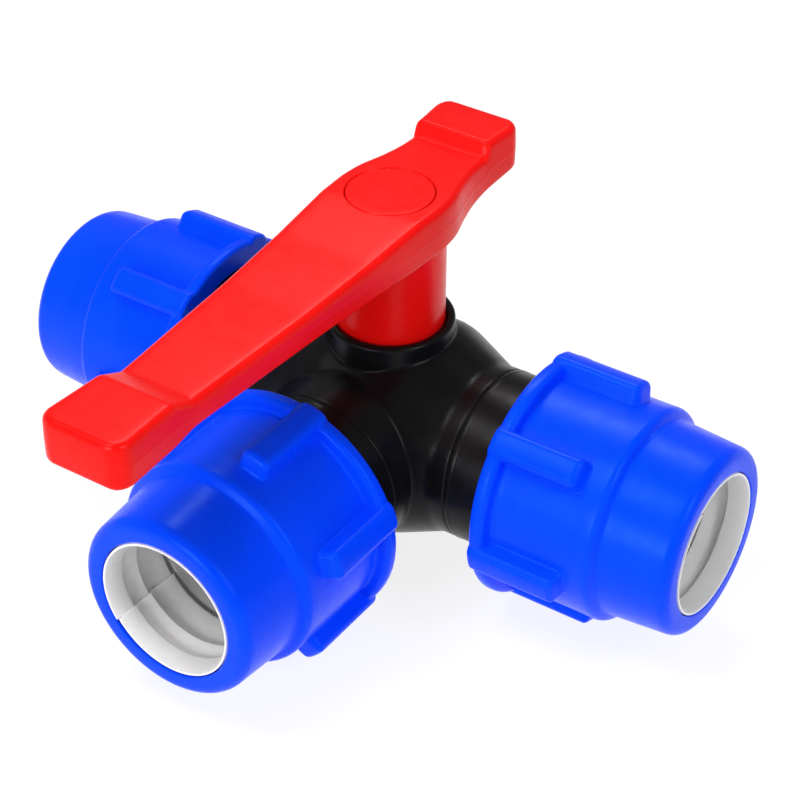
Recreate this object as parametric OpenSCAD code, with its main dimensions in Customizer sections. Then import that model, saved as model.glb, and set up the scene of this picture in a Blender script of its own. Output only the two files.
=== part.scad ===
// Three way ball valve for plastic pressure pipe, with compression nuts on all
// three ports. The origin is where the three port axes and the stem axis cross.
// The run lies along X, the branch points to -Y and the stem stands up +Z.

/* [Pipe and ball] */
// Outside diameter of the pipe that each port takes
pipe_d = 32; // [31.5:0.1:32.2]
// Diameter of the ball
ball_d = 35; // [34.6:0.1:35.2]
// Diameter of the waterway through the ball
waterway_d = 21.2; // [18:0.1:21.6]

/* [Body] */
// Radius of the bulged middle of the body, around the run axis
core_r = 27.8; // [27:0.1:29]
// Radius of the plain neck at each port
neck_r = 21.8; // [21.2:0.1:22]
// Distance from the centre to the welded seam of each port
seam_x = 30; // [29.5:0.1:31]
// Where the bulge starts to narrow towards a neck, from the centre
cone_start_x = 11; // [9:0.5:13]
// Where the bulge has narrowed to the neck, from the centre
cone_end_x = 25.2; // [23:0.1:27]
// Outside radius of the collar around the handle's skirt
collar_r = 15.8; // [15.5:0.1:17]
// Height of the collar's rim
collar_z = 30.2; // [29.5:0.1:31]

/* [Port ends] */
// Radius of the screwed stretch of a port end
thread_r = 22.6; // [22.3:0.1:22.8]
// Where the screwed stretch starts, from the centre
thread_x = 44; // [43:0.5:46]
// End face of a port end, from the centre
spigot_x = 64; // [63.5:0.1:64.5]

/* [Nuts] */
// Length of a nut
nut_len = 48.9; // [48:0.1:50]
// Outside radius of a nut's flange
nut_flange_r = 30.2; // [29.5:0.1:31]
// Outside radius of a nut over its ribs
rib_top_r = 31.5; // [31:0.1:32.5]
// Number of ribs on a nut
rib_count = 6; // [4:1:8]
// Distance from the centre to a nut's mouth when it is screwed right down
tight_mouth_x = 89; // [89:0.5:91]
// How far the right nut is backed off
right_open = 2.0; // [0.5:0.1:20]
// How far the branch nut is backed off
branch_open = 0.9; // [0.5:0.1:20]
// How far the left nut is backed off
left_open = 8.2; // [0.5:0.1:20]

/* [Handle] */
// Height of the handle's flat top over the hub
handle_z = 64.4; // [63.5:0.1:66]
// Reach of the long arm from the stem axis
long_reach = 112; // [105:1:118]
// Reach of the short arm from the stem axis
short_reach = 40; // [37:1:43]
// Half width of the handle over the hub
hub_half_w = 14.8; // [14.4:0.1:16]
// Radius of the round skirt under the hub
skirt_r = 13.3; // [13:0.1:13.35]

/* [Hidden] */
$fn = 96;
PORTS = ["right", "branch", "left"];

ball_r = ball_d / 2;
waterway_r = waterway_d / 2;
socket_r = pipe_d / 2 + 0.25;     // wall of the pipe socket
slip_r = pipe_d / 2 + 0.45;       // every loose piece that the pipe passes through
gap = 0.4;                        // between a grip ring and the nut around it
running = 0.05;                   // radial clearance of the stem in its bore

// Inside of the body
chamber_r = 19.6;
mouth_bore_r = 18;                // takes a port end's inner tube, and lets the ball in
bonnet_z = 25.4;                  // floor of the collar's cup
cup_r = 13.7;
counterbore_r = 9.3;
counterbore_z = 20.1;
stem_r = 7;

// Inside of a port end
tube_x = 18.2;                    // inner end of the tube that holds the seat
tube_bore_r = 13;
seat_r = 15;
seat_back_x = 19.6;
cushion_x = 21.6;                 // bottom of the pocket behind the seat
stop_x = 42;                      // shoulder that the pipe stops against
seal_x = 57.5;                    // shoulder behind the pipe seal
seal_bore_r = 20.3;
bush_flange_r = 20.7;
bush_flange_len = 2;
bush_top_r = 19.6;
bush_top_len = 5.3;               // how far a packing bush stands out of its port end

// Inside of a nut, from its mouth inwards
nut_cone_len = 23;
nut_mouth_bore_r = 17.9;
nut_cone_r = 21.25;
nut_bore_r = 22.9;
grip_len = 19.4;
flange_len = 4;
rib_end = 25.7;                   // from the mouth to the end of a rib
shoulder_r = 26.8;
taper_r = 24.5;

// Levels of the stem and the handle
slot_z = 13.4;
slot_w = 5;
tongue_z = slot_z + 0.2;
tongue_w = 4.8;
flange_z = 17.7;
flange_top_z = 19.25;
drive_z = 25.7;
drive_w = 9;
drive_top_z = 56.5;
skirt_z = 26;
hub_under_z = 52.6;
arm_under_z = 53.4;
long_under_z = 52.2;
short_under_z = 56.6;
long_top_z = handle_z - 4;
long_pad_z = handle_z - 0.9;
short_pad_z = handle_z + 3.6;
hub_start_y = -8;                 // where the long arm meets the hub
long_ramp_y = long_reach - 24;    // foot of the step up to the long arm's pad
short_ramp_y = 24.5;              // foot of the step up to the short arm's pad
cap_r = 10.6;
cap_len = 2;
head_z = handle_z - 5.4;
screw_r = 2.5;
screw_head_r = 4.7;
screw_head_len = 2.6;
screw_len = 20;
well_r = 7.5;                     // room for the screw's head, under the cap

function smooth(t) = (1 - cos(180 * t)) / 2;
function open_by(port) = port == "right" ? right_open : port == "branch" ? branch_open : left_open;
// Turn of each nut about its own axis, which sets where its ribs stand
function nut_turn(port) = port == "right" ? -18 : port == "branch" ? -14 : 22.6;

// Where the split of each grip ring stands, around its own axis
function split_turn(port) = port == "right" ? 30 : port == "branch" ? 124 : -60;

// Puts a piece that is drawn along +Z on a port's axis, with its own +X kept upwards
module on_port(port) {
    if (port == "right") rotate([0, 90, 0]) rotate([0, 0, 180]) children();
    if (port == "branch") rotate([90, 0, 0]) rotate([0, 0, 90]) children();
    if (port == "left") rotate([0, -90, 0]) children();
}

// Moves a piece outwards with the nut of that port
module with_nut(port) {
    on_port(port) translate([0, 0, tight_mouth_x + open_by(port)]) children();
}

module ring(r_out, r_in, z0, z1) {
    translate([0, 0, z0]) difference() {
        cylinder(r = r_out, h = z1 - z0);
        translate([0, 0, -1]) cylinder(r = r_in, h = z1 - z0 + 2);
    }
}

// ---- body ----

// The body's outline, turned around the run axis: a bulge with a cone down to each neck.
// The two corners of a cone are eased over a short stretch on either side.
module run_shell() {
    ease = 1.4;
    edge = 0.5;
    drop = (core_r - neck_r) * ease / (cone_end_x - cone_start_x);
    half = [
        [core_r, cone_start_x - ease], [core_r - drop / 4, cone_start_x],
        [core_r - drop, cone_start_x + ease], [neck_r + drop, cone_end_x - ease],
        [neck_r + drop / 4, cone_end_x], [neck_r, cone_end_x + ease]];
    back = [for (i = [len(half) - 1 : -1 : 0]) [half[i][0], -half[i][1]]];
    rotate([0, 90, 0]) rotate_extrude() polygon(concat(
        [[0, -seam_x], [neck_r - edge, -seam_x], [neck_r, -seam_x + edge]], back,
        half, [[neck_r, seam_x - edge], [neck_r - edge, seam_x], [0, seam_x]]));
}

module branch_shell() {
    edge = 0.5;
    rotate([90, 0, 0]) {
        cylinder(r = neck_r, h = seam_x - edge);
        translate([0, 0, seam_x - edge]) cylinder(r1 = neck_r, r2 = neck_r - edge, h = edge);
    }
}

module valve_body() {
    color("#1b1b1d") difference() {
        union() {
            run_shell();
            branch_shell();
            cylinder(r = collar_r, h = collar_z);
        }
        sphere(r = chamber_r);
        rotate([0, 90, 0]) translate([0, 0, -seam_x - 1]) cylinder(r = mouth_bore_r, h = 2 * seam_x + 2);
        rotate([90, 0, 0]) cylinder(r = mouth_bore_r, h = seam_x + 1);
        cylinder(r = counterbore_r, h = counterbore_z);
        cylinder(r = stem_r + running, h = collar_z);
        translate([0, 0, bonnet_z]) cylinder(r = cup_r, h = collar_z);
    }
}

// ---- port ends: welded to the body at the seam, screwed outside, pipe socket inside ----

module port_end(port) {
    edge = 0.5;
    chamfer = 1.2;
    color("#1b1b1d") on_port(port) rotate_extrude() polygon([
        [seat_r + 0.1, tube_x], [mouth_bore_r - 0.05, tube_x], [mouth_bore_r - 0.05, seam_x],
        [neck_r - edge, seam_x], [neck_r, seam_x + edge],
        [neck_r, thread_x], [thread_r, thread_x + 1],
        [thread_r, spigot_x - chamfer], [thread_r - chamfer, spigot_x],
        [seal_bore_r, spigot_x], [seal_bore_r, seal_x],
        [socket_r, seal_x], [socket_r, stop_x], [tube_bore_r, stop_x],
        [tube_bore_r, cushion_x + 4], [waterway_r + 0.2, cushion_x + 2],
        [waterway_r + 0.2, cushion_x], [seat_r + 0.1, cushion_x]]);
}

// ---- ball seats ----

// A seat's face is part of a sphere around the centre, and its outer corner is cut
// at 45 degrees so that the seats of two neighbouring ports stay clear of each other
module seat(port) {
    face_r = ball_r + 0.1;
    corner = 0.4;
    tip_x = (corner + sqrt(2 * face_r * face_r - corner * corner)) / 2;
    color("#e8e8e2") on_port(port) difference() {
        rotate_extrude() polygon([
            [waterway_r, tip_x], [tip_x - corner, tip_x],
            [seat_r, seat_r + corner], [seat_r, seat_back_x], [waterway_r, seat_back_x]]);
        sphere(r = face_r, $fn = 128);
    }
}

module seat_cushion(port) {
    cord_r = (cushion_x - seat_back_x) / 2;
    color("#222222") on_port(port) translate([0, 0, seat_back_x + cord_r])
        rotate_extrude() translate([seat_r - 1.6, 0]) circle(r = cord_r, $fn = 32);
}

// ---- pipe seal and packing bush: held in the open end of a port end ----

module pipe_seal(port) {
    cord_r = (seal_bore_r - slip_r) / 2;
    color("#222222") on_port(port) translate([0, 0, seal_x + cord_r])
        rotate_extrude() translate([slip_r + cord_r, 0]) circle(r = cord_r, $fn = 32);
}

module packing_bush(port) {
    nose_x = seal_x + seal_bore_r - slip_r;
    color("#d8d8d6") on_port(port) rotate_extrude() polygon([
        [slip_r, nose_x], [seal_bore_r - 0.1, nose_x], [seal_bore_r - 0.1, spigot_x],
        [bush_flange_r, spigot_x], [bush_flange_r, spigot_x + bush_flange_len],
        [bush_top_r, spigot_x + bush_flange_len], [bush_top_r, spigot_x + bush_top_len],
        [slip_r, spigot_x + bush_top_len]]);
}

// ---- grip ring: a split cone with rows of teeth, which the nut squeezes on the pipe ----

module grip_ring(port) {
    tooth = 1.2;
    tooth_pitch = 5.4;
    teeth = 2;
    split_w = 1.6;
    end_r = nut_mouth_bore_r + (nut_cone_r - nut_mouth_bore_r) * grip_len / nut_cone_len - gap;
    color("#e6e6e4") with_nut(port) difference() {
        rotate_extrude() polygon(concat(
            [[nut_mouth_bore_r - gap, 0], [slip_r + tooth / 2, 0]],
            [for (i = [1 : teeth]) each [
                [slip_r, -tooth_pitch * i], [slip_r + tooth, -tooth_pitch * i - 0.4]]],
            [[slip_r, -tooth_pitch * (teeth + 1)], [slip_r, -grip_len], [end_r, -grip_len]]));
        rotate([0, 0, split_turn(port)]) translate([0, -split_w / 2, -grip_len - 1])
            cube([nut_flange_r, split_w, grip_len + 2]);
    }
}

// ---- nuts ----

module nut_ribs() {
    root_w = 8.7;
    top_w = 6.4;
    start = -nut_len + 0.5;
    for (k = [0 : rib_count - 1]) rotate([0, 0, 360 * k / rib_count])
        translate([0, 0, start]) linear_extrude(-rib_end - start)
            polygon([[nut_bore_r + 1, -root_w / 2], [shoulder_r, -root_w / 2], [rib_top_r - 1, -top_w / 2],
                [rib_top_r, -top_w / 2 + 1.4], [rib_top_r, top_w / 2 - 1.4], [rib_top_r - 1, top_w / 2],
                [shoulder_r, root_w / 2], [nut_bore_r + 1, root_w / 2]]);
}

module nut(port) {
    shoulder_in = 22.2;
    shoulder_out = 18.4;
    mouth_r = 23.2;
    mouth_round = 3.2;
    round_steps = 6;
    color("#0c41fe") with_nut(port) difference() {
        union() {
            rotate_extrude() polygon(concat(
                [[0, -nut_len], [nut_flange_r - 0.8, -nut_len], [nut_flange_r, -nut_len + 0.8],
                 [nut_flange_r, -nut_len + flange_len - 0.6],
                 [shoulder_r + 0.6, -nut_len + flange_len + 0.4],
                 [shoulder_r, -nut_len + flange_len + 1], [shoulder_r, -shoulder_in - 0.6],
                 [shoulder_r - 0.5, -shoulder_in], [taper_r + 0.3, -shoulder_out - 0.5],
                 [taper_r, -shoulder_out]],
                [for (i = [0 : round_steps]) let (a = 90 * i / round_steps)
                    [mouth_r - mouth_round + mouth_round * cos(a), -mouth_round + mouth_round * sin(a)]],
                [[0, 0]]));
            rotate([0, 0, nut_turn(port)]) nut_ribs();
        }
        rotate_extrude() polygon([
            [0, -nut_len - 1], [nut_bore_r + 1.4, -nut_len - 1], [nut_bore_r + 1.4, -nut_len + 0.6],
            [nut_bore_r, -nut_len + 2], [nut_bore_r, -nut_cone_len - 1], [nut_cone_r, -nut_cone_len],
            [nut_mouth_bore_r, 0], [nut_mouth_bore_r, 1], [0, 1]]);
    }
}

// ---- ball and stem ----

module ball() {
    color("#3a3a3e") difference() {
        sphere(r = ball_r, $fn = 128);
        rotate([0, 90, 0]) translate([0, 0, -ball_r]) cylinder(r = waterway_r, h = ball_d);
        rotate([90, 0, 0]) cylinder(r = waterway_r, h = ball_r);
        translate([-ball_r, -slot_w / 2, slot_z]) cube([ball_d, slot_w, ball_r]);
    }
}

module stem() {
    groove_r = 5.4;
    groove_len = 1.8;
    color("#3a3a3e") difference() {
        union() {
            intersection() {
                cylinder(r = counterbore_r - 0.4, h = flange_z);
                translate([-ball_r, -tongue_w / 2, tongue_z]) cube([ball_d, tongue_w, flange_z - tongue_z]);
            }
            translate([0, 0, flange_z]) cylinder(r = counterbore_r - 0.4, h = flange_top_z - flange_z);
            translate([0, 0, flange_z]) cylinder(r = stem_r, h = drive_z - flange_z);
            translate([-drive_w / 2, -drive_w / 2, drive_z]) cube([drive_w, drive_w, drive_top_z - drive_z]);
        }
        for (z = stem_seal_levels()) ring(stem_r + 1, groove_r, z - groove_len / 2, z + groove_len / 2);
        translate([0, 0, screw_tip_z() - 1]) cylinder(r = screw_r + running, h = drive_top_z);
    }
}

function stem_seal_levels() = [21.6, 24.2];
function screw_tip_z() = head_z - screw_len;

module thrust_washer() {
    color("#e8e8e2") ring(counterbore_r - 0.3, stem_r + 0.1, flange_top_z, counterbore_z - 0.1);
}

module stem_seal(i) {
    cord_r = 0.8;
    color("#222222") translate([0, 0, stem_seal_levels()[i]])
        rotate_extrude() translate([stem_r - cord_r, 0]) circle(r = cord_r, $fn = 32);
}

// ---- handle ----

// Half widths of the handle seen from above, from the long arm's pad to the short one's.
// The stretches between them ease in and out.
STATIONS = [
    [-long_reach, 11.7], [-long_ramp_y - 5, 10.8], [-long_ramp_y, 10.4],
    [hub_start_y, hub_half_w - 0.3], [1, hub_half_w], [18, 11], [short_ramp_y + 2, 10.5], [short_reach, 11.8]
];

// Straight along the long arm, eased elsewhere
function between(a, b, t) = let (s = a[0] < hub_start_y ? t : smooth(t))
    [a[0] + (b[0] - a[0]) * t, a[1] + (b[1] - a[1]) * s];

function edge_points() = [for (i = [0 : len(STATIONS) - 2]) for (k = [0 : 5])
    between(STATIONS[i], STATIONS[i + 1], k / 6)];

module handle_plan() {
    corner = 4;
    over_w = 20;
    long_half_w = STATIONS[0][1];
    short_half_w = STATIONS[len(STATIONS) - 1][1];
    right = [for (p = edge_points()) [p[1], p[0]]];
    left = [for (i = [len(right) - 1 : -1 : 0]) [-right[i][0], right[i][1]]];
    intersection() {
        polygon(concat(right, [[short_half_w, short_reach], [-short_half_w, short_reach]], left));
        union() {
            translate([-over_w, -long_reach + corner])
                square([2 * over_w, long_reach + short_reach - 2 * corner]);
            for (end = [[-long_reach + corner, long_half_w - corner],
                    [short_reach - corner, short_half_w - corner]]) {
                for (s = [-1, 1]) translate([s * end[1], end[0]]) circle(r = corner, $fn = 48);
                translate([-end[1], end[0] - corner]) square([2 * end[1], 2 * corner]);
            }
        }
    }
}

// Side view of the handle, as [y, z]
module handle_side() {
    ramp = 5;
    short_ramp = 2.2;
    polygon([
        [-long_reach, long_pad_z], [-long_ramp_y - ramp, long_pad_z], [-long_ramp_y, long_top_z],
        [-50, long_top_z + 1.4], [-24, long_top_z + 3], [hub_start_y, handle_z], [short_ramp_y, handle_z],
        [short_ramp_y + short_ramp, short_pad_z], [short_reach, short_pad_z],
        [short_reach, short_under_z], [12, hub_under_z], [-16, hub_under_z], [-40, arm_under_z],
        [-long_ramp_y, arm_under_z], [-long_ramp_y - ramp, long_under_z], [-long_reach, long_under_z]]);
}

module handle() {
    color("#f02824") difference() {
        union() {
            intersection() {
                linear_extrude(short_pad_z + 1) handle_plan();
                rotate([90, 0, 90]) linear_extrude(4 * hub_half_w, center = true) handle_side();
            }
            translate([0, 0, skirt_z]) cylinder(r = skirt_r, h = hub_under_z - skirt_z + 1);
        }
        translate([-drive_w / 2 - 0.1, -drive_w / 2 - 0.1, skirt_z - 1])
            cube([drive_w + 0.2, drive_w + 0.2, drive_top_z - skirt_z + 1.2]);
        cylinder(r = screw_r + 0.3, h = handle_z + 1);
        translate([0, 0, head_z]) cylinder(r = well_r, h = handle_z);
        translate([0, 0, handle_z - cap_len]) cylinder(r = cap_r + 0.1, h = cap_len + 1);
    }
}

module handle_screw() {
    cross_len = 6;
    cross_w = 1;
    color("#b8bcc2") difference() {
        union() {
            translate([0, 0, screw_tip_z()]) cylinder(r = screw_r, h = screw_len + 1);
            translate([0, 0, head_z]) cylinder(r = screw_head_r, h = screw_head_len);
        }
        translate([-cross_len / 2, -cross_w / 2, head_z + 1.2]) cube([cross_len, cross_w, screw_head_len]);
        translate([-cross_w / 2, -cross_len / 2, head_z + 1.2]) cube([cross_w, cross_len, screw_head_len]);
    }
}

module handle_cap() {
    color("#e8221f") union() {
        translate([0, 0, handle_z - cap_len]) cylinder(r = cap_r, h = cap_len);
        ring(well_r - 0.1, well_r - 1.3, handle_z - cap_len - 2, handle_z - cap_len);
    }
}

valve_body();
ball();
stem();
thrust_washer();
stem_seal(0);  // lower_stem_seal
stem_seal(1);  // upper_stem_seal
handle();
handle_screw();
handle_cap();
for (port = PORTS) {
    port_end(port);
    seat(port);
    seat_cushion(port);
    pipe_seal(port);
    packing_bush(port);
    grip_ring(port);
    nut(port);
}
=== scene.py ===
"""Three way ball valve in plastic: its looks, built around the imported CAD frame.

All shapes are worked out in millimetres in the frame of the CAD model, and are turned into
metres when a piece is published. The pieces inside the valve keep their CAD shape.
"""
import math

import bmesh
import bpy
import numpy as np
from mathutils import Matrix, Vector


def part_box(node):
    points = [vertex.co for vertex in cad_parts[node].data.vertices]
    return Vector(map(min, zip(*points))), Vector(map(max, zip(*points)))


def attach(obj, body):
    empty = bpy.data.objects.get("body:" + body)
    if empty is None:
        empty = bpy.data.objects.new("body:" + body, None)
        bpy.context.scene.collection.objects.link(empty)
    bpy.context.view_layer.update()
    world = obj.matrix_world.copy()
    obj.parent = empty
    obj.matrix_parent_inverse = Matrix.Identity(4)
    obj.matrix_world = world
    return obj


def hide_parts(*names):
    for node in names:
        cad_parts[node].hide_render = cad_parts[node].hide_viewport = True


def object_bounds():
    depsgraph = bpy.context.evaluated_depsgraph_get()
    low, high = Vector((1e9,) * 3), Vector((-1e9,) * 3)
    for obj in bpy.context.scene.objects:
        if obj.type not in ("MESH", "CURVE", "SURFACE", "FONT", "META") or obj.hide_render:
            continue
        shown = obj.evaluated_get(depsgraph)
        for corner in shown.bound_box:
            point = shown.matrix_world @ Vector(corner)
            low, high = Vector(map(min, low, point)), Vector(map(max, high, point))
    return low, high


MM = 0.001
PORTS = ("right", "branch", "left")
OUTWARD = {"right": (1, 0, 0), "branch": (0, -1, 0), "left": (-1, 0, 0)}

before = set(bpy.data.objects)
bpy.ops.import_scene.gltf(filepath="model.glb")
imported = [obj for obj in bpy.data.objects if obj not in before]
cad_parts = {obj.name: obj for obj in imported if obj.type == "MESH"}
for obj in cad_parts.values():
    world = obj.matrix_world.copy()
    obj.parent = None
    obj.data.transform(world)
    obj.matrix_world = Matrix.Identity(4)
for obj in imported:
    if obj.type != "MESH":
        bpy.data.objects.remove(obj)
cad_low, cad_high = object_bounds()


# ---- places that come from the frame -------------------------------------------------

def reach(node, port):
    """How far a node goes out along a port's axis, in mm, as (inner end, outer end)."""
    low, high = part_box(node)
    ends = sorted(Vector(OUTWARD[port]).dot(corner) / MM for corner in (low, high))
    return ends[0], ends[1]


def port_axes(port):
    """A port's own axes as columns: up, sideways and outward."""
    outward = np.array(OUTWARD[port], float)
    up = np.array((0.0, 0.0, 1.0))
    return np.column_stack((up, np.cross(outward, up), outward))


def on_port(points, port):
    """Points drawn around +Z, with +X up, put on a port's axis."""
    return points @ port_axes(port).T


# ---- mesh tools ----------------------------------------------------------------------

def rounded(corners, turn=18.0):
    """A closed outline of (x, y, radius) corners, with an arc at each corner."""
    points = []
    count = len(corners)
    for i, corner in enumerate(corners):
        here = np.array(corner[:2], float)
        before = np.array(corners[i - 1][:2], float) - here
        after = np.array(corners[(i + 1) % count][:2], float) - here
        room = 0.49 * min(np.linalg.norm(before), np.linalg.norm(after))
        before /= np.linalg.norm(before)
        after /= np.linalg.norm(after)
        half = math.acos(max(-1.0, min(1.0, float(before @ after)))) / 2
        if corner[2] <= 0 or half > math.radians(89.5):
            points.append(here)
            continue
        run = min(corner[2] / math.tan(half), room)
        radius = run * math.tan(half)
        middle = before + after
        centre = here + middle / np.linalg.norm(middle) * radius / math.sin(half)
        start = here + before * run - centre
        end = here + after * run - centre
        sweep = math.pi - 2 * half
        steps = max(2, math.ceil(math.degrees(sweep) / turn))
        for k in range(steps + 1):
            t = k / steps
            arm = (math.sin((1 - t) * sweep) * start + math.sin(t * sweep) * end) / math.sin(sweep)
            points.append(centre + arm)
    return np.array(points)


def refined(points, spacing):
    """The same closed outline with extra points, so that none are further apart than spacing.

    spacing is a length, or a function that gives the length allowed between two points.
    """
    result = []
    count = len(points)
    for i in range(count):
        a, b = points[i], points[(i + 1) % count]
        limit = spacing(a, b) if callable(spacing) else spacing
        steps = max(1, math.ceil(np.linalg.norm(b - a) / limit))
        result.extend(a + (b - a) * k / steps for k in range(steps))
    return np.array(result)


def grid_faces(rows, columns, wrap_rows=True, wrap_columns=True):
    """Quads between the rows and columns of a grid of points, numbered row by row."""
    faces = []
    for i in range(rows if wrap_rows else rows - 1):
        up = (i + 1) % rows
        for j in range(columns if wrap_columns else columns - 1):
            right = (j + 1) % columns
            faces.append((i * columns + j, i * columns + right,
                          up * columns + right, up * columns + j))
    return faces


def new_object(name, points, faces):
    """A mesh object in millimetres. publish() makes a piece of it."""
    mesh = bpy.data.meshes.new(name)
    mesh.from_pydata(np.asarray(points, float).tolist(), [], faces)
    mesh.validate()
    item = bpy.data.objects.new(name, mesh)
    bpy.context.scene.collection.objects.link(item)
    return item


def outward_normals(item):
    """Turns the faces of a closed mesh so that they all look outwards."""
    work = bmesh.new()
    work.from_mesh(item.data)
    bmesh.ops.remove_doubles(work, verts=work.verts, dist=1e-5)
    bmesh.ops.recalc_face_normals(work, faces=work.faces)
    if work.calc_volume(signed=True) < 0:
        bmesh.ops.reverse_faces(work, faces=work.faces)
    work.to_mesh(item.data)
    work.free()


def solid_of_revolution(name, outline, columns=160):
    """A closed outline of (radius, height) that may touch the axis, turned around +Z."""
    outline = np.asarray(outline, float)
    angle = 2 * np.pi * np.arange(columns) / columns
    radius = outline[:, 0][:, None]
    points = np.stack((radius * np.cos(angle), radius * np.sin(angle),
                       np.repeat(outline[:, 1][:, None], columns, 1)), -1)
    item = new_object(name, points.reshape(-1, 3), grid_faces(len(outline), columns))
    outward_normals(item)
    return item


def box_mesh(name, low, high):
    """A plain closed box between two corners."""
    points = [(x, y, z) for x in (low[0], high[0]) for y in (low[1], high[1])
              for z in (low[2], high[2])]
    faces = [(0, 1, 3, 2), (4, 6, 7, 5), (0, 4, 5, 1), (2, 3, 7, 6), (0, 2, 6, 4), (1, 5, 7, 3)]
    item = new_object(name, points, faces)
    outward_normals(item)
    return item


def combine(item, other, operation):
    """Applies a boolean with another closed mesh, which is then removed."""
    step = item.modifiers.new("cut", "BOOLEAN")
    step.object = other
    step.operation = operation
    step.solver = "EXACT"
    bpy.context.view_layer.update()
    graph = bpy.context.evaluated_depsgraph_get()
    made = bpy.data.meshes.new_from_object(item.evaluated_get(graph))
    item.modifiers.clear()
    item.data = made
    bpy.data.objects.remove(other)


def publish(item, body, material, replaced=(), sharp=32.0):
    """Turns a mesh in millimetres into a piece that rides on a CAD body.

    Edges sharper than the angle sharp, in degrees, stay crisp.
    """
    outward_normals(item)
    item.data.transform(Matrix.Scale(MM, 4))
    item.data.shade_smooth()
    item.data.set_sharp_from_angle(angle=math.radians(sharp))
    item.data.materials.clear()
    item.data.materials.append(material)
    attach(item, body)
    if replaced:
        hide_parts(*replaced)
    return item


# ---- materials -----------------------------------------------------------------------

def node_at(tree, kind, **settings):
    """A new shader node with its properties set."""
    node = tree.nodes.new(kind)
    for key, value in settings.items():
        setattr(node, key, value)
    return node


def noise_value(tree, scale, detail=3.0, roughness=0.5, stretch=None):
    """Fractal noise in the object's own space. scale is in cycles per metre."""
    place = node_at(tree, "ShaderNodeTexCoord")
    noise = node_at(tree, "ShaderNodeTexNoise")
    noise.inputs["Scale"].default_value = scale
    noise.inputs["Detail"].default_value = detail
    noise.inputs["Roughness"].default_value = roughness
    vector = place.outputs["Object"]
    if stretch:
        mapping = node_at(tree, "ShaderNodeMapping")
        mapping.inputs["Scale"].default_value = stretch
        tree.links.new(vector, mapping.inputs["Vector"])
        vector = mapping.outputs["Vector"]
    tree.links.new(vector, noise.inputs["Vector"])
    return noise.outputs["Fac"]


def ramp_between(tree, value, stops):
    """A colour ramp over (position, colour) stops."""
    ramp = node_at(tree, "ShaderNodeValToRGB")
    elements = ramp.color_ramp.elements
    while len(elements) < len(stops):
        elements.new(0.5)
    for element, (position, colour) in zip(elements, stops):
        element.position = position
        element.color = (*colour, 1.0)
    tree.links.new(value, ramp.inputs["Fac"])
    return ramp.outputs["Color"]


def number_between(tree, value, low_in, high_in, low_out, high_out):
    """A value stretched from one range to another, and held at the ends."""
    mapped = node_at(tree, "ShaderNodeMapRange")
    for name, number in (("From Min", low_in), ("From Max", high_in),
                         ("To Min", low_out), ("To Max", high_out)):
        mapped.inputs[name].default_value = number
    tree.links.new(value, mapped.inputs["Value"])
    return mapped.outputs["Result"]


def mixed(tree, fraction, base, colour):
    """A plain colour mixed into another node's colour."""
    mix = node_at(tree, "ShaderNodeMix", data_type="RGBA")
    tree.links.new(fraction, mix.inputs["Factor"])
    tree.links.new(base, mix.inputs["A"])
    mix.inputs["B"].default_value = (*colour, 1.0)
    return mix.outputs["Result"]


def bumped(tree, layers):
    """Chains bump nodes of (value, distance in metres, strength)."""
    normal = None
    for value, distance, strength in layers:
        bump = node_at(tree, "ShaderNodeBump")
        bump.inputs["Distance"].default_value = distance
        bump.inputs["Strength"].default_value = strength
        tree.links.new(value, bump.inputs["Height"])
        if normal:
            tree.links.new(normal, bump.inputs["Normal"])
        normal = bump.outputs["Normal"]
    return normal


# Scales of the noises that every material shares, in cycles per metre
CLOUD_SCALE = 55
RIPPLE_SCALE = 110
SCUFF_SCALE = 240
FLECK_SCALE = 900
RIPPLE_DEPTH = 0.0003     # metres
SPECK_STRENGTH, SPECK_SHADE = 0.22, 0.92
WEAR_AND_HIGHLIGHT_STRENGTH = 0.45      # how much of the paler edge colour shows on the edges: wear and a painted highlight


def clouded(tree, colour, worn_and_highlit, mottle):
    """The colour with slow clouds, fine specks and paler edges, which are wear and a painted
    highlight.
    """
    clouds = noise_value(tree, CLOUD_SCALE, 4.0, 0.55)
    flecks = noise_value(tree, FLECK_SCALE, 2.0, 0.6)
    darker = tuple(c * (1 - mottle) for c in colour)
    lighter = tuple(min(1.0, c * (1 + mottle) + 0.002) for c in colour)
    base = ramp_between(tree, clouds, ((0.3, darker), (0.5, colour), (0.72, lighter)))
    speck = number_between(tree, flecks, 0.62, 0.8, 0.0, SPECK_STRENGTH)
    base = mixed(tree, speck, base, tuple(c * SPECK_SHADE for c in colour))
    # Convex edges turn towards the paler colour: partly wear, partly a painted highlight where light
    # catches the edges.
    edges = node_at(tree, "ShaderNodeNewGeometry").outputs["Pointiness"]
    wear_and_highlight = number_between(tree, edges, 0.54, 0.64, 0.0, WEAR_AND_HIGHLIGHT_STRENGTH)
    return mixed(tree, wear_and_highlight, base, worn_and_highlit)


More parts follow.
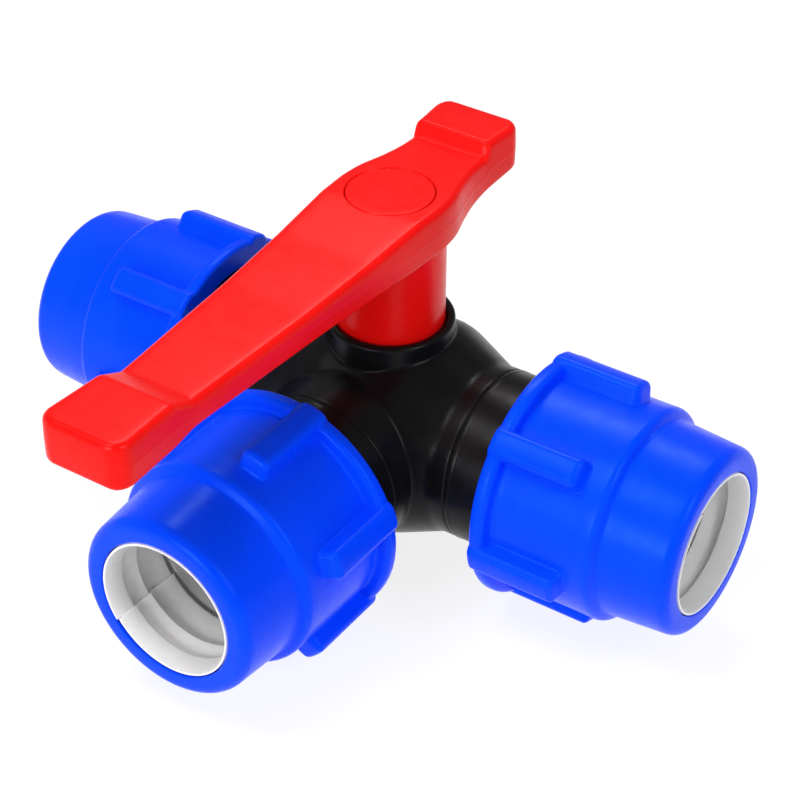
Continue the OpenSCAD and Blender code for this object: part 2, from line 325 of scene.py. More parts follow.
def moulded(name, colour, worn_and_highlit, rough=(0.28, 0.4), grain=(2600, 0.00004, 0.35), ripple=0.25,
            specular=0.5, tint=(1.0, 1.0, 1.0), metallic=0.0, mottle=0.07, stretch=None,
            scatter=0.0):
    """A moulded or turned surface: clouded colour, paler edges for wear and a painted highlight,
    fine grain, slow ripple.

    rough is the range of roughness, grain is (cycles per metre, depth in metres, strength),
    ripple is a strength, and mottle is how far the colour clouds either way.
    """
    material = bpy.data.materials.new(name)
    material.use_nodes = True
    tree = material.node_tree
    shader = tree.nodes["Principled BSDF"]
    base = clouded(tree, colour, worn_and_highlit, mottle)
    tree.links.new(base, shader.inputs["Base Color"])
    scuffs = noise_value(tree, SCUFF_SCALE, 5.0, 0.65, stretch)
    tree.links.new(number_between(tree, scuffs, 0.3, 0.7, *rough), shader.inputs["Roughness"])
    fine = noise_value(tree, grain[0], 2.0, 0.5, stretch)
    slow = noise_value(tree, RIPPLE_SCALE, 2.0, 0.4)
    normal = bumped(tree, ((slow, RIPPLE_DEPTH, ripple), (fine, grain[1], grain[2])))
    tree.links.new(normal, shader.inputs["Normal"])
    shader.inputs["Specular IOR Level"].default_value = specular
    shader.inputs["Metallic"].default_value = metallic
    shader.inputs["Specular Tint"].default_value = (*tint, 1.0)
    if scatter:
        shader.inputs["Subsurface Weight"].default_value = scatter
        shader.inputs["Subsurface Radius"].default_value = (1.0, 0.9, 0.8)
        shader.inputs["Subsurface Scale"].default_value = 0.0012
    return material


# The second colour of each material is its paler edge colour: wear and a painted highlight. On the
# blue nuts it paints the highlights along the rib edges.
BLUE = moulded("blue nut plastic", (0.0006, 0.056, 0.99), (0.03, 0.20, 1.0), rough=(0.24, 0.36),
               grain=(1500, 0.00005, 0.30), ripple=0.14, specular=0.12, tint=(0.2, 0.7, 1.0))
RED = moulded("red handle plastic", (0.82, 0.005, 0.004), (0.90, 0.025, 0.022),
              rough=(0.23, 0.33), grain=(1900, 0.00004, 0.16), ripple=0.08, mottle=0.05,
              specular=0.10, tint=(1.0, 0.9, 0.9))
BLACK = moulded("black body plastic", (0.0052, 0.0052, 0.006), (0.018, 0.018, 0.020),
                rough=(0.24, 0.36), grain=(1700, 0.00004, 0.18), ripple=0.12, mottle=0.2,
                specular=0.12)
ACETAL = moulded("grip ring plastic", (0.86, 0.86, 0.86), (0.86, 0.86, 0.86),
                 rough=(0.20, 0.30), grain=(2200, 0.00003, 0.12), ripple=0.06, mottle=0.03,
                 scatter=0.3)
BUSH = moulded("bush plastic", (0.80, 0.80, 0.80), (0.90, 0.90, 0.90), rough=(0.32, 0.45),
               mottle=0.03)
SEAT = moulded("seat plastic", (0.78, 0.78, 0.74), (0.85, 0.85, 0.82), rough=(0.42, 0.55),
               grain=(1200, 0.00004, 0.2), ripple=0.05, mottle=0.03)
RUBBER = moulded("seal rubber", (0.012, 0.012, 0.012), (0.03, 0.03, 0.03), rough=(0.5, 0.68),
                 grain=(3000, 0.00005, 0.4), ripple=0.05, mottle=0.2)
BALL = moulded("ball plastic", (0.045, 0.045, 0.05), (0.11, 0.11, 0.11), rough=(0.16, 0.26),
               grain=(2500, 0.00002, 0.15), stretch=(1.0, 1.0, 9.0))
STEEL = moulded("zinc plated steel", (0.56, 0.57, 0.60), (0.8, 0.8, 0.82), rough=(0.22, 0.4),
                grain=(1800, 0.00003, 0.25), metallic=1.0, mottle=0.12, stretch=(1.0, 1.0, 6.0))


# ---- body ----------------------------------------------------------------------------

CORE_R = 27.8
NECK_R = 21.8
SEAM_X = 30.0
COLLAR_R = 15.8
COLLAR_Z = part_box("valve_body")[1].z / MM
CONE_START, CONE_END = 11.0, 25.2     # where the barrel narrows to a neck, from the centre
MOUTH_BORE_R = 18.0                   # takes a port end
CHAMBER_R = 19.6                      # the room around the ball
STEM_BORE_R, STEM_BORE_TOP = 9.3, 20.1
BONNET_BORE_R = 7.05
CUP_R = 13.7                          # the well inside the collar
CUP_FLOOR = 25.4

# Roundings and fillets of the body
CONE_TOP_EDGE, CONE_FOOT_EDGE = 1.2, 0.45
SEAM_EDGE, COLLAR_EDGE = 0.65, 1.1
BRANCH_FILLET, COLLAR_FILLET = 0.5, 0.6
CUP_EDGE, BORE_EDGE = 0.4, 0.5
BURIED_EDGE = 0.2


def fade(value, start, end):
    """0 at start and 1 at end, easing in and out."""
    t = np.clip((value - start) / (end - start), 0.0, 1.0)
    return t * t * (3 - 2 * t)


def smooth_max(a, b, width):
    """The larger of two fields, with a rounding of that width where they cross."""
    mix = np.clip(0.5 + 0.5 * (a - b) / width, 0.0, 1.0)
    return b + (a - b) * mix + width * mix * (1 - mix)


def smooth_min(a, b, width):
    """The smaller of two fields, rounded in the same way."""
    return -smooth_max(-a, -b, width)


def body_field(p):
    """Signed distance to the body's surface, near enough for meshing: negative inside."""
    x, y, z = p[..., 0], p[..., 1], p[..., 2]
    around_run = np.sqrt(y * y + z * z)
    around_branch = np.sqrt(x * x + z * z)
    around_stem = np.sqrt(x * x + y * y)
    cone_r = CORE_R - (CORE_R - NECK_R) * (np.abs(x) - CONE_START) / (CONE_END - CONE_START)
    run_r = smooth_max(smooth_min(cone_r, CORE_R, CONE_TOP_EDGE), NECK_R, CONE_FOOT_EDGE)
    run = smooth_max(around_run - run_r, np.abs(x) - SEAM_X, SEAM_EDGE)
    branch = smooth_max(around_branch - NECK_R, -y - SEAM_X, SEAM_EDGE)
    branch = smooth_max(branch, y, BURIED_EDGE)
    collar = smooth_max(around_stem - COLLAR_R, z - COLLAR_Z, COLLAR_EDGE)
    collar = smooth_max(collar, -z, BURIED_EDGE)
    outside = smooth_min(smooth_min(run, branch, BRANCH_FILLET), collar, COLLAR_FILLET)
    chamber = np.sqrt(x * x + y * y + z * z) - CHAMBER_R
    bores = np.minimum(np.minimum(around_run - MOUTH_BORE_R, chamber),
                       np.maximum(around_branch - MOUTH_BORE_R, y))
    stem_bore = np.minimum(np.maximum(around_stem - STEM_BORE_R, z - STEM_BORE_TOP),
                           around_stem - BONNET_BORE_R)
    cup = smooth_max(around_stem - CUP_R, CUP_FLOOR - z, CUP_EDGE)
    hollow = np.minimum(np.minimum(bores, np.maximum(stem_bore, -z)), cup)
    return smooth_max(outside, -hollow, BORE_EDGE)


def crossing_points(nodes, value):
    """For every cell: the sum of the points where the surface crosses its edges, and how many."""
    shape = np.array(value.shape)
    inside = value < 0
    total = np.zeros((*(shape - 1), 3))
    hits = np.zeros(tuple(shape - 1))

    def at(array, corner):
        """The values at one corner of every cell."""
        return array[tuple(slice(c, n - 1 + c) for c, n in zip(corner, shape))]

    for a in [(i, j, k) for i in (0, 1) for j in (0, 1) for k in (0, 1)]:
        for axis in range(3):
            if a[axis]:
                continue
            b = tuple(c + (i == axis) for i, c in enumerate(a))
            va, vb = at(value, a), at(value, b)
            cross = at(inside, a) != at(inside, b)
            share = np.where(cross, va / np.where(cross, va - vb, 1.0), 0.0)
            point = at(nodes, a) + share[..., None] * (at(nodes, b) - at(nodes, a))
            total += np.where(cross[..., None], point, 0.0)
            hits += cross
    return total, hits


def crossed_quads(inside, number):
    """A quad around every grid edge that the surface crosses, through the four cells beside it."""
    shape = inside.shape
    faces = []
    for axis in range(3):
        one, two = [i for i in range(3) if i != axis]
        first = [slice(1, n - 1) for n in shape]
        first[axis] = slice(0, shape[axis] - 1)
        second = list(first)
        second[axis] = slice(1, shape[axis])
        a, b = inside[tuple(first)], inside[tuple(second)]
        where = np.argwhere(a != b)
        flip = a[tuple(where.T)]
        cell = where + np.array([0 if i == axis else 1 for i in range(3)])
        quad = []
        for du, dv in ((0, 0), (1, 0), (1, 1), (0, 1)):
            corner = cell.copy()
            corner[:, one] -= du
            corner[:, two] -= dv
            quad.append(number[tuple(corner.T)])
        quad = np.stack(quad, 1)
        quad[flip] = quad[flip][:, ::-1]
        faces.append(quad)
    return np.concatenate(faces)


def settled(points, field, furthest, rounds):
    """The points moved along the field's slope on to the surface, no further than that a round."""
    probe = 0.02
    flattest = 0.05
    for _ in range(rounds):
        here = field(points)
        slope = np.stack([field(points + nudge) - field(points - nudge)
                          for nudge in probe * np.eye(3)], -1) / (2 * probe)
        size = np.maximum((slope ** 2).sum(-1), flattest)
        move = -(here / size)[:, None] * slope
        points = points + np.clip(move, -furthest, furthest)
    return points


def evened(points, faces):
    """The points moved halfway to the mean of their neighbours."""
    pairs = np.concatenate([faces[:, [i, (i + 1) % 4]] for i in range(4)])
    summed = np.zeros_like(points)
    count = np.zeros(len(points))
    for a, b in ((0, 1), (1, 0)):
        np.add.at(summed, pairs[:, a], points[pairs[:, b]])
        np.add.at(count, pairs[:, a], 1)
    return 0.5 * points + 0.5 * summed / count[:, None]


def mesh_of_field(name, field, low, high, step):
    """Surface nets: one point in each cell that the surface crosses, then moved on to it."""
    axes = [np.arange(a, b + step, step) for a, b in zip(low, high)]
    nodes = np.stack(np.meshgrid(*axes, indexing="ij"), -1)
    value = field(nodes)
    total, hits = crossing_points(nodes, value)
    used = hits > 0
    number = -np.ones(used.shape, int)
    number[used] = np.arange(used.sum())
    points = total[used] / hits[used][:, None]
    faces = crossed_quads(value < 0, number)
    for _ in range(3):
        points = evened(settled(points, field, 0.5 * step, 2), faces)
    return new_object(name, settled(points, field, 0.5 * step, 3), faces.tolist())


def make_body():
    """The T with its bores. The grid's margins are uneven, so that no flat face lies on it."""
    low, high = (np.array(corner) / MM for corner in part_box("valve_body"))
    step = 0.5
    margin_low, margin_high = 1.37, 1.41
    body = mesh_of_field("body_shell", body_field, low - margin_low, high + margin_high, step)
    publish(body, "body", BLACK, ["valve_body"], sharp=50)


# ---- threads and port ends -----------------------------------------------------------

THREAD_PITCH = 4.0
THREAD_DEPTH = 0.85
THREAD_R = 22.25
THREAD_START = 44.0
THREAD_STEEPNESS = 1.7                    # of the flanks; crests and roots are flat
SPIGOT_R = 17.95                          # sits in the body's mouth
LIP_HEIGHT, LIP_LEN = 0.08, 1.0           # the raised lip at the seam
PACKING_R, PACKING_FLOOR = 20.3, 57.5     # takes the pipe seal and the packing bush
SOCKET_R, SOCKET_FLOOR = 16.25, 42.0      # takes the pipe
WATERWAY_R = 13.0
THROAT_R, THROAT_START, THROAT_END = 10.8, 23.6, 25.6
SEAT_POCKET_R, SEAT_POCKET_FLOOR = 15.1, 21.6
OUTSIDE_R = 21.0                          # all of a port end beyond this is its outside


def thread_height(distance, angle):
    """Height of a right-handed thread at a distance along the port and an angle around it."""
    phase = distance / THREAD_PITCH - angle / (2 * np.pi)
    return THREAD_DEPTH * np.clip(THREAD_STEEPNESS * np.cos(2 * np.pi * phase), -1.0, 1.0)


def port_end_outline(inner, outer):
    """Half a section of a port end as (radius, distance from the valve's centre)."""
    lip_r = NECK_R + LIP_HEIGHT
    return rounded([
        (SEAT_POCKET_R, inner, 0), (SPIGOT_R, inner, 0), (SPIGOT_R, SEAM_X, 0),
        (lip_r, SEAM_X, 0.3), (lip_r, SEAM_X + LIP_LEN, 0.4), (NECK_R, SEAM_X + LIP_LEN + 0.4, 0.3),
        (NECK_R, THREAD_START, 0), (THREAD_R, THREAD_START + 1.4, 0), (THREAD_R, outer - 1.2, 0),
        (THREAD_R - 1.0, outer, 0), (PACKING_R, outer, 0.25), (PACKING_R, PACKING_FLOOR, 0),
        (SOCKET_R, PACKING_FLOOR, 0.3), (SOCKET_R, SOCKET_FLOOR, 0), (WATERWAY_R, SOCKET_FLOOR, 0.3),
        (WATERWAY_R, THROAT_END, 0), (THROAT_R, THROAT_START, 0), (THROAT_R, SEAT_POCKET_FLOOR, 0),
        (SEAT_POCKET_R, SEAT_POCKET_FLOOR, 0)])


def port_end_spacing(a, b):
    """Points are close together along the thread and wide apart elsewhere."""
    on_thread = min(a[0], b[0]) > OUTSIDE_R and min(a[1], b[1]) > THREAD_START - 0.5
    return 0.4 if on_thread else 3.0


def make_port_end(port):
    """A welded-in port end: seam lip, neck, helical thread, socket and waterway."""
    node = f"{port}_port_end"
    inner, outer = reach(node, port)
    outline = refined(port_end_outline(inner, outer), port_end_spacing)
    columns = 120
    angle = np.tile(2 * np.pi * np.arange(columns) / columns, (len(outline), 1))
    radius = np.tile(outline[:, 0][:, None], (1, columns))
    along = np.tile(outline[:, 1][:, None], (1, columns))
    threaded = (radius > OUTSIDE_R) & (along > THREAD_START)
    run_in = fade(along, THREAD_START, THREAD_START + 2.5)
    run_out = 1 - fade(along, outer - 2.2, outer - 0.4)
    strength = run_in * run_out
    radius = radius + np.where(threaded, thread_height(along, angle) * strength, 0.0)
    points = np.stack((radius * np.cos(angle), radius * np.sin(angle), along), -1).reshape(-1, 3)
    faces = grid_faces(len(outline), columns)
    item = new_object(f"{port}_port_end_shell", on_port(points, port), faces)
    publish(item, "body", BLACK, [node])


# ---- nuts ----------------------------------------------------------------------------

# Distances along a nut are counted from its outer end
PIPE_HOLE_R = 17.9
NOSE_R, NOSE_EDGE = 23.3, 3.4             # the end face and its rounding
NOSE_FOOT_R, NOSE_LEN = 24.5, 17.7
SHOULDER_R, SHOULDER_START = 26.8, 18.9
FLANGE_R, FLANGE_LEN, FLANGE_EDGE = 30.2, 4.0, 1.3
LEAD_IN_R, LEAD_IN_LEN = 24.2, 1.6
NUT_THREAD_R, NUT_THREAD_START = 22.75, 24.4
NUT_BORE_R = 23.0                         # all of a nut within this is its bore
RING_CONE_R, RING_CONE_LEN = 21.3, 23.0   # the cone that closes the grip ring
RIBS = 6
RIB_TOP_R = 31.4
RIB_CROWN = 0.012                         # how much the rib's top falls towards its sides
RIB_HALF_W = 3.6
RIB_WIDTH_R = SHOULDER_R + 2              # the radius at which that width is measured
RIB_CORNER = 1.5
RIB_EDGE = 1.9
RIB_LEAN = 4.7                            # steepness of the sides
RIB_START = 25.4
RIB_GRID_START, RIB_GRID_END = 24.0, 29.0     # points are close together here
RIB_FILLET = 0.9                          # where a rib meets the nut
RIB_PHASE = {"right": -18.0, "branch": -14.0, "left": 22.6}

# Places across half a rib, in mm from its middle, close together at its side
RIB_PLACES = (0, 0.8, 1.4, 1.8, 2.1, 2.4, 2.65, 2.85, 3.0, 3.12, 3.22, 3.32, 3.42, 3.52, 3.62,
              3.72, 3.82, 3.92, 4.04, 4.2, 4.4, 4.7, 5.2, 6.0, 7.2, 9.0, 11.4)


def rib_columns():
    """Angles around a nut, close together at the sides of the ribs and wide apart elsewhere."""
    half = [a / SHOULDER_R for a in RIB_PLACES]
    sector = [-a for a in reversed(half[1:])] + half + [math.pi / RIBS]
    return np.array([a + 2 * math.pi * k / RIBS for k in range(RIBS) for a in sector])


def rib_radius(angle, inward, length):
    """Radius of the ribs: a rounded block on the nut, with leaning sides."""
    pitch = 2 * np.pi / RIBS
    across = np.abs((angle + pitch / 2) % pitch - pitch / 2) * RIB_WIDTH_R
    side = across - (RIB_HALF_W - RIB_CORNER)
    front = RIB_START + RIB_CORNER - inward
    beyond = np.hypot(np.maximum(side, 0), np.maximum(front, 0))
    beyond = beyond + np.minimum(np.maximum(side, front), 0)
    depth = RIB_CORNER - beyond
    steepest = RIB_EDGE * (1 - RIB_LEAN / math.hypot(1, RIB_LEAN))
    arc = np.clip(depth, steepest, RIB_EDGE)
    fall = RIB_EDGE - np.sqrt(RIB_EDGE ** 2 - (RIB_EDGE - arc) ** 2)
    fall = fall + RIB_LEAN * np.maximum(steepest - depth, 0)
    back = FLANGE_EDGE - np.clip(length - inward, 0, FLANGE_EDGE)
    rounding = FLANGE_EDGE - np.sqrt(FLANGE_EDGE ** 2 - back ** 2)
    return RIB_TOP_R - RIB_CROWN * across ** 2 - fall - rounding


def nut_outline(length):
    """Half a section of a nut as (radius, distance in from its outer end)."""
    flange = length - FLANGE_LEN
    outline = rounded([
        (PIPE_HOLE_R, 0.0, 0.35), (NOSE_R, 0.0, NOSE_EDGE), (NOSE_FOOT_R, NOSE_LEN, 0.7),
        (SHOULDER_R + 0.1, SHOULDER_START, 3.2), (SHOULDER_R, RIB_GRID_START, 0),
        (SHOULDER_R, RIB_GRID_END, 0), (SHOULDER_R, flange - 0.1, 0.8),
        (FLANGE_R, flange + 0.25, 1.6), (FLANGE_R, length, FLANGE_EDGE), (LEAD_IN_R, length, 0.5),
        (NUT_THREAD_R, length - LEAD_IN_LEN, 0.3), (NUT_THREAD_R, NUT_THREAD_START, 0.5),
        (RING_CONE_R, RING_CONE_LEN, 0.3)], turn=14)

    def spacing(a, b):
        """Points are close together along the thread and at the ends of the ribs."""
        if b[0] < NUT_BORE_R and NUT_THREAD_START - 0.4 < b[1] < length:
            return 0.5
        if b[0] > SHOULDER_R - 1 and a[1] >= RIB_GRID_START and b[1] <= RIB_GRID_END:
            return 0.25
        return 2.2

    return refined(outline, spacing)


def make_nut(port):
    """A union nut: nose, shoulder, flange, six ribs and a thread inside."""
    node = f"{port}_nut"
    back, mouth = reach(node, port)
    length = mouth - back
    outline = nut_outline(length)
    angle = rib_columns()
    columns = len(angle)
    angle = np.tile(angle, (len(outline), 1))
    radius = np.tile(outline[:, 0][:, None], (1, columns))
    inward = np.tile(outline[:, 1][:, None], (1, columns))
    turn = math.radians(RIB_PHASE[port])
    last = int(np.argmax(outline[:, 1] > length - 1e-6))
    outside = (np.arange(len(outline)) <= last)[:, None] & (radius > NUT_BORE_R + 0.5)
    ribbed = outside & (inward > RIB_START - 6)
    ribs = rib_radius(angle, inward, length)
    radius = np.where(ribbed, np.maximum(radius, smooth_max(radius, ribs, RIB_FILLET)), radius)
    cut = (radius < NUT_BORE_R) & (inward > NUT_THREAD_START - 0.2) & (inward < length - 1.2)
    run_in = fade(inward, NUT_THREAD_START, NUT_THREAD_START + 2.6)
    run_out = 1 - fade(inward, length - 3.6, length - LEAD_IN_LEN)
    thread = thread_height(mouth - inward, angle + turn) * (run_in * run_out)
    radius = radius + np.where(cut, thread, 0.0)
    points = np.stack((radius * np.cos(angle + turn), radius * np.sin(angle + turn),
                       mouth - inward), -1)
    item = new_object(f"{port}_nut_shell", on_port(points.reshape(-1, 3), port),
                      grid_faces(len(outline), columns))
    publish(item, node, BLUE, [node], sharp=60)


# ---- grip rings ----------------------------------------------------------------------

# Distances along a ring are counted from its outer end
RING_OUTER_R = (17.62, 20.2)              # at the outer and the inner end
RING_MOUTH_R, RING_TAIL_R = 17.1, 16.4
TOOTH_PITCH, TOOTH_R = 5.4, 16.35
RECESS_R, RECESS_END_R = 17.75, 17.6      # behind each tooth
SPLIT_TURN = {"right": 30.0, "branch": 124.0, "left": -60.0}
SPLIT_STEP = 0.85                         # between the two ends of the split
SPLIT_SHARE = 0.36                        # the share of a turn over which the step fades


def ring_outline(length):
    """The section of a grip ring as (radius, distance in from its outer end)."""
    corners = [(RING_OUTER_R[0], 0.0, 0.2), (RING_MOUTH_R, 0.0, 0.15)]
    for tooth in (1, 2):
        start = TOOTH_PITCH * tooth
        corners += [(TOOTH_R, start, 0.3), (RECESS_R, start + 0.5, 0.5),
                    (RECESS_END_R, start + 2.4, 2.5)]
    corners += [(RING_TAIL_R, length - 0.6, 0.6), (RING_TAIL_R + 0.5, length, 0.1),
                (RING_OUTER_R[1], length, 0.3)]
    return refined(rounded(corners, turn=30), 3.0)


def make_grip_ring(port):
    """A split ring with saw teeth inside. One end of the split stands a little further in."""
    node = f"{port}_grip_ring"
    inner, mouth = reach(node, port)
    outline = ring_outline(mouth - inner)
    columns = 140
    share = np.linspace(0.0, 1.0, columns)
    angle = math.radians(SPLIT_TURN[port]) + share * 2 * np.pi
    step = -SPLIT_STEP * (1 - fade(share, 0.0, SPLIT_SHARE)) ** 1.5
    radius = outline[:, 0][:, None] + step[None, :]
    points = np.stack((radius * np.cos(angle), radius * np.sin(angle),
                       mouth - np.repeat(outline[:, 1][:, None], columns, 1)), -1)
    rows = len(outline)
    faces = grid_faces(rows, columns, wrap_columns=False)
    faces.append([i * columns for i in range(rows)])
    faces.append([i * columns + columns - 1 for i in reversed(range(rows))])
    item = new_object(f"{port}_grip_ring_shell", on_port(points.reshape(-1, 3), port), faces)
    publish(item, f"{port}_grip", ACETAL, [node], sharp=38)


# ---- handle --------------------------------------------------------------------------

HANDLE_LOW, HANDLE_HIGH = (np.array(corner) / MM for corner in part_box("handle"))
LONG_END, SHORT_END = HANDLE_LOW[1], HANDLE_HIGH[1]
CAP_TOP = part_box("handle_cap")[1].z / MM
TOP_EDGE, UNDER_EDGE = 2.0, 1.3           # rounding of the long edges
END_ROUND = 4.6                           # rounding of the ends, seen from above
TOP_END_ROUND, UNDER_END_ROUND = 1.7, 1.3
DRAFT = 0.02                              # lean of the sides away from the parting line
FLASH, FLASH_HALF_W = 0.02, 0.25          # the parting line left by the mould
SKIRT_R = 13.3
SKIRT_FOOT, SKIRT_FLARE, SKIRT_TOP = 52.4, 53.2, 54.2   # heights; it widens into the bar
SKIRT_FLARE_R = SKIRT_R + 1.3
CAP_R = 10.6
CAP_CROWN = 0.02
CAP_BOSS_R, CAP_BOSS_BORE_R = 7.4, 6.2    # the ring under the cap
RECESS_DEPTH, RECESS_GAP = 2.0, 0.16      # the seat of the cap
WELL_R, WELL_DEPTH = 7.5, 5.4             # the room for the screw's head
DRIVE_HALF, DRIVE_TOP = 4.6, 56.7         # the square hole for the stem
SCREW_HOLE_R, SCREW_HOLE_LOW = 2.8, 50.0

# (y, half width at the mould's parting line)
WIDTHS = ((LONG_END, 11.6), (-99.0, 10.9), (-91.0, 10.5), (-86.0, 10.4), (-38.0, 12.9),
          (-9.0, 14.5), (1.0, 14.9), (7.0, 14.2), (13.0, 12.3), (19.0, 11.1), (25.0, 10.7),
          (32.0, 11.2), (SHORT_END, 11.9))
# (y, height of the top face)
TOPS = ((LONG_END, 63.7), (-93.2, 63.4), (-86.6, 60.4), (-48.0, 61.3), (-26.0, 62.6),
        (-8.0, CAP_TOP), (25.5, CAP_TOP), (26.5, 67.9), (SHORT_END, 68.0))
# (y, height of the underside)
UNDERSIDES = ((LONG_END, 52.2), (-93.0, 52.3), (-87.0, 53.4), (-42.0, 53.4), (-14.0, 52.6),
              (10.0, 52.6), (18.0, 53.8), (SHORT_END, 56.7))


def eased(stations, y, softness=2.0):
    """Straight lines between stations, with the corners smoothed over that distance."""
    ys, values = zip(*stations)
    offsets = np.linspace(-softness, softness, 9)
    weights = 1 - np.abs(offsets) / (softness * 1.1)
    samples = [np.interp(y + o, ys, values) for o in offsets]
    return float(np.dot(samples, weights) / weights.sum())


def bowed_in(distance, radius):
    """How far a quarter-round edge falls back at a distance from the edge's face."""
    if distance >= radius:
        return 0.0
    return radius - math.sqrt(max(0.0, radius ** 2 - (radius - distance) ** 2))


def corner_arc(centre_x, centre_z, radius, first, last, count):
    """Points around a rounded corner, from one angle in degrees to another."""
    turns = [math.radians(a) for a in np.linspace(first, last, count)]
    return [(centre_x + radius * math.cos(t), centre_z + radius * math.sin(t)) for t in turns]


def handle_section(y):
    """One cross-section of the handle, as (x, z) points once around."""
    from_end = min(y - LONG_END, SHORT_END - y)
    width = eased(WIDTHS, y, 3.0) - bowed_in(from_end, END_ROUND)
    top = eased(TOPS, y, 0.9) - bowed_in(from_end, TOP_END_ROUND)
    under = eased(UNDERSIDES, y, 2.0) + bowed_in(from_end, UNDER_END_ROUND)
    parting = 0.5 * (top + under) - 0.3
    top_w = width - DRAFT * (top - parting)
    under_w = width - DRAFT * (parting - under)
    beside = 1.4
    half = [(share * (top_w - TOP_EDGE), top) for share in (0.0, 0.35, 0.65, 0.85)]
    half += corner_arc(top_w - TOP_EDGE, top - TOP_EDGE, TOP_EDGE, 90, 5, 8)
    half += [(width - DRAFT * beside, parting + beside),
             (width - FLASH, parting + FLASH_HALF_W),
             (width + FLASH, parting),
             (width - FLASH, parting - FLASH_HALF_W),
             (width - DRAFT * beside, parting - beside)]
    half += corner_arc(under_w - UNDER_EDGE, under + UNDER_EDGE, UNDER_EDGE, 0, -90, 6)
    half += [(share * (under_w - UNDER_EDGE), under) for share in (0.8, 0.5, 0.0)]
    other = [(-x, z) for x, z in reversed(half[1:-1])]
    return half + other


def handle_places():
    """Where the cross-sections stand: close together at the ends and at the steps."""
    end = [END_ROUND * (1 - math.cos(math.radians(a))) for a in np.linspace(0, 90, 12)]
    places = [LONG_END + e for e in end] + [SHORT_END - e for e in end]
    places += list(np.arange(-107.0, -95.0, 1.5)) + list(np.arange(-95.0, -84.0, 0.5))
    places += list(np.arange(-84.0, 22.0, 1.5)) + list(np.arange(22.0, 28.5, 0.35))
    places += list(np.arange(28.5, 36.0, 1.2))
    return sorted(set(round(p, 4) for p in places))


def handle_bar():
    """The handle without its skirt and holes."""
    places = handle_places()
    sections = [handle_section(y) for y in places]
    columns = len(sections[0])
    points = [(x, y, z) for y, section in zip(places, sections) for x, z in section]
    faces = grid_faces(len(sections), columns, wrap_rows=False)
    faces.append(list(range(columns)))
    faces.append([(len(sections) - 1) * columns + i for i in reversed(range(columns))])
    bar = new_object("handle_shell", points, faces)
    outward_normals(bar)
    return bar


def plain_hole(radius, low, high):
    """The outline of a cylinder between two heights."""
    return np.array([(0.0, low), (radius, low), (radius, high), (0.0, high)])


def make_handle():
    """The bar with its skirt, the cap's recess, the well, the square drive and the screw hole."""
    handle = handle_bar()
    skirt_low = HANDLE_LOW[2]
    skirt = rounded([(0.0, skirt_low, 0), (SKIRT_R, skirt_low, 0.6),
                     (SKIRT_R + 0.15, SKIRT_FOOT, 1.1), (SKIRT_FLARE_R, SKIRT_FLARE, 0),
                     (SKIRT_FLARE_R, SKIRT_TOP, 0), (0.0, SKIRT_TOP, 0)])
    combine(handle, solid_of_revolution("skirt", skirt), "UNION")
    floor, above = CAP_TOP - RECESS_DEPTH, CAP_TOP + 3
    recess = rounded([(0.0, floor, 0), (CAP_R + RECESS_GAP, floor, 0),
                      (CAP_R + RECESS_GAP, CAP_TOP - 0.3, 0), (CAP_R + 0.5, CAP_TOP + 0.12, 0),
                      (CAP_R + 0.5, above, 0), (0.0, above, 0)])
    combine(handle, solid_of_revolution("recess", recess), "DIFFERENCE")
    well = plain_hole(WELL_R, CAP_TOP - WELL_DEPTH, CAP_TOP - 1)
    combine(handle, solid_of_revolution("well", well, 64), "DIFFERENCE")
    drive = box_mesh("drive", (-DRIVE_HALF, -DRIVE_HALF, skirt_low - 1),
                     (DRIVE_HALF, DRIVE_HALF, DRIVE_TOP))
    combine(handle, drive, "DIFFERENCE")
    hole = plain_hole(SCREW_HOLE_R, SCREW_HOLE_LOW, CAP_TOP - 4)
    combine(handle, solid_of_revolution("hole", hole, 48), "DIFFERENCE")
    publish(handle, "handle_and_ball", RED, ["handle"], sharp=35)


def make_cap():
    """The round cap over the screw, with a ring under it."""
    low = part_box("handle_cap")[0].z / MM
    inside_top, disc_low, crown = CAP_TOP - 1.6, CAP_TOP - RECESS_DEPTH, CAP_TOP + CAP_CROWN
    outline = rounded([(0.0, inside_top, 0), (CAP_BOSS_BORE_R, inside_top, 0.2),
                       (CAP_BOSS_BORE_R, low, 0.2), (CAP_BOSS_R, low, 0.2),
                       (CAP_BOSS_R, disc_low, 0), (CAP_R, disc_low, 0),
                       (CAP_R, CAP_TOP - CAP_CROWN, 0.35), (4.0, crown, 0), (0.0, crown, 0)])
    cap = solid_of_revolution("cap_disc", refined(outline, 2.0))
    publish(cap, "handle_and_ball", RED, ["handle_cap"])


# ---- pieces that keep their CAD shape ------------------------------------------------

def dress(node, material):
    """Gives a CAD piece one material."""
    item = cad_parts[node]
    item.data.materials.clear()
    item.data.materials.append(material)
    for polygon in item.data.polygons:
        polygon.material_index = 0


def dress_inner_pieces():
    """Everything that the valve holds inside."""
    for port in PORTS:
        dress(f"{port}_seat", SEAT)
        dress(f"{port}_seat_cushion", RUBBER)
        dress(f"{port}_pipe_seal", RUBBER)
        dress(f"{port}_packing_bush", BUSH)
    dress("ball", BALL)
    dress("stem", BALL)
    dress("thrust_washer", SEAT)
    dress("lower_stem_seal", RUBBER)
    dress("upper_stem_seal", RUBBER)
    dress("handle_screw", STEEL)


# ---- stage ---------------------------------------------------------------------------

CAMERA_AIM = Vector((0.8, 2.9, 2.6)) * MM
CAMERA_AZIMUTH = 34.23
CAMERA_ELEVATION = 36.27
CAMERA_DISTANCE = 571.9 * MM
CAMERA_LENS = 103.04
FLOOR_GAP = 0.2 * MM
FLOOR_HALF = 30.0         # metres
FLOOR_GREY, FLOOR_GLOW = 0.22, 0.84
WORLD_STRENGTH = 0.28


def direction(azimuth, elevation):
    """A unit vector away from the object. The azimuth turns from -Y towards +X."""
    a, e = math.radians(azimuth), math.radians(elevation)
    return Vector((math.sin(a) * math.cos(e), -math.cos(a) * math.cos(e), math.sin(e)))


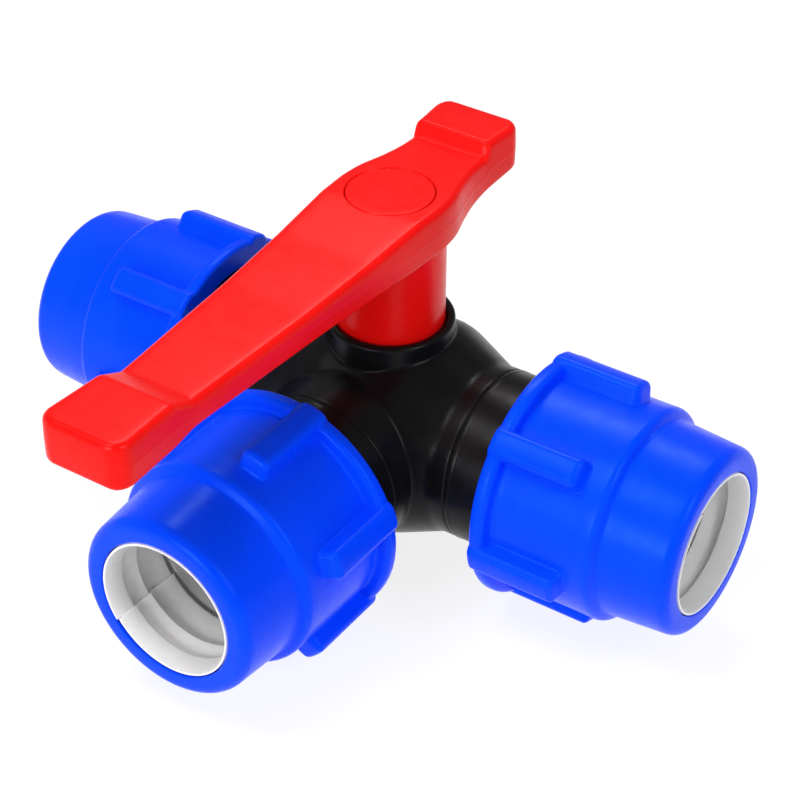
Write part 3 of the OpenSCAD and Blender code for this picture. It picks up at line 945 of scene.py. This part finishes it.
def make_camera():
    """The photograph's point of view."""
    camera = bpy.data.objects.new("camera", bpy.data.cameras.new("camera"))
    bpy.context.scene.collection.objects.link(camera)
    back = direction(CAMERA_AZIMUTH, CAMERA_ELEVATION)
    camera.location = CAMERA_AIM + back * CAMERA_DISTANCE
    camera.rotation_mode = "QUATERNION"
    camera.rotation_quaternion = (-back).to_track_quat("-Z", "Y")
    camera.data.sensor_width = 36.0
    camera.data.lens = CAMERA_LENS
    camera.data.clip_start = 0.01
    bpy.context.scene.camera = camera


def area_light(name, azimuth, elevation, distance, size, power):
    """A white panel aimed at the object."""
    light = bpy.data.lights.new(name, "AREA")
    light.shape = "RECTANGLE"
    light.size, light.size_y = size
    light.energy = power
    item = bpy.data.objects.new(name, light)
    bpy.context.scene.collection.objects.link(item)
    towards = direction(azimuth, elevation)
    item.location = towards * distance
    item.rotation_mode = "QUATERNION"
    item.rotation_quaternion = (-towards).to_track_quat("-Z", "Y")


def make_floor():
    """A wide pale floor just under the valve. It glows a little, so that it stays near white."""
    level = cad_low.z - FLOOR_GAP
    corners = [(-1, -1), (1, -1), (1, 1), (-1, 1)]
    mesh = bpy.data.meshes.new("floor")
    mesh.from_pydata([(x * FLOOR_HALF, y * FLOOR_HALF, level) for x, y in corners],
                     [], [(0, 1, 2, 3)])
    floor = bpy.data.objects.new("floor", mesh)
    bpy.context.scene.collection.objects.link(floor)
    material = bpy.data.materials.new("pale floor")
    material.use_nodes = True
    shader = material.node_tree.nodes["Principled BSDF"]
    shader.inputs["Base Color"].default_value = (FLOOR_GREY, FLOOR_GREY, FLOOR_GREY, 1)
    shader.inputs["Roughness"].default_value = 0.9
    shader.inputs["Specular IOR Level"].default_value = 0.0
    shader.inputs["Emission Color"].default_value = (1, 1, 1, 1)
    shader.inputs["Emission Strength"].default_value = FLOOR_GLOW
    mesh.materials.append(material)


def make_studio():
    """An even white world and four panels."""
    world = bpy.data.worlds.new("studio")
    bpy.context.scene.world = world
    world.use_nodes = True
    backdrop = world.node_tree.nodes["Background"]
    backdrop.inputs["Color"].default_value = (1, 1, 1, 1)
    backdrop.inputs["Strength"].default_value = WORLD_STRENGTH
    area_light("key", -24, 62, 0.6, (0.22, 0.22), 1.5)
    area_light("fill", 82, 36, 1.0, (0.3, 0.5), 3.0)
    area_light("front", -4, 16, 1.0, (0.4, 0.3), 4.4)
    area_light("back", 210, 55, 1.0, (0.5, 0.24), 3.6)
    bpy.context.scene.view_settings.view_transform = "Standard"


make_camera()
make_studio()
make_floor()
make_body()
for port in PORTS:
    make_port_end(port)
    make_nut(port)
    make_grip_ring(port)
make_handle()
make_cap()
dress_inner_pieces()
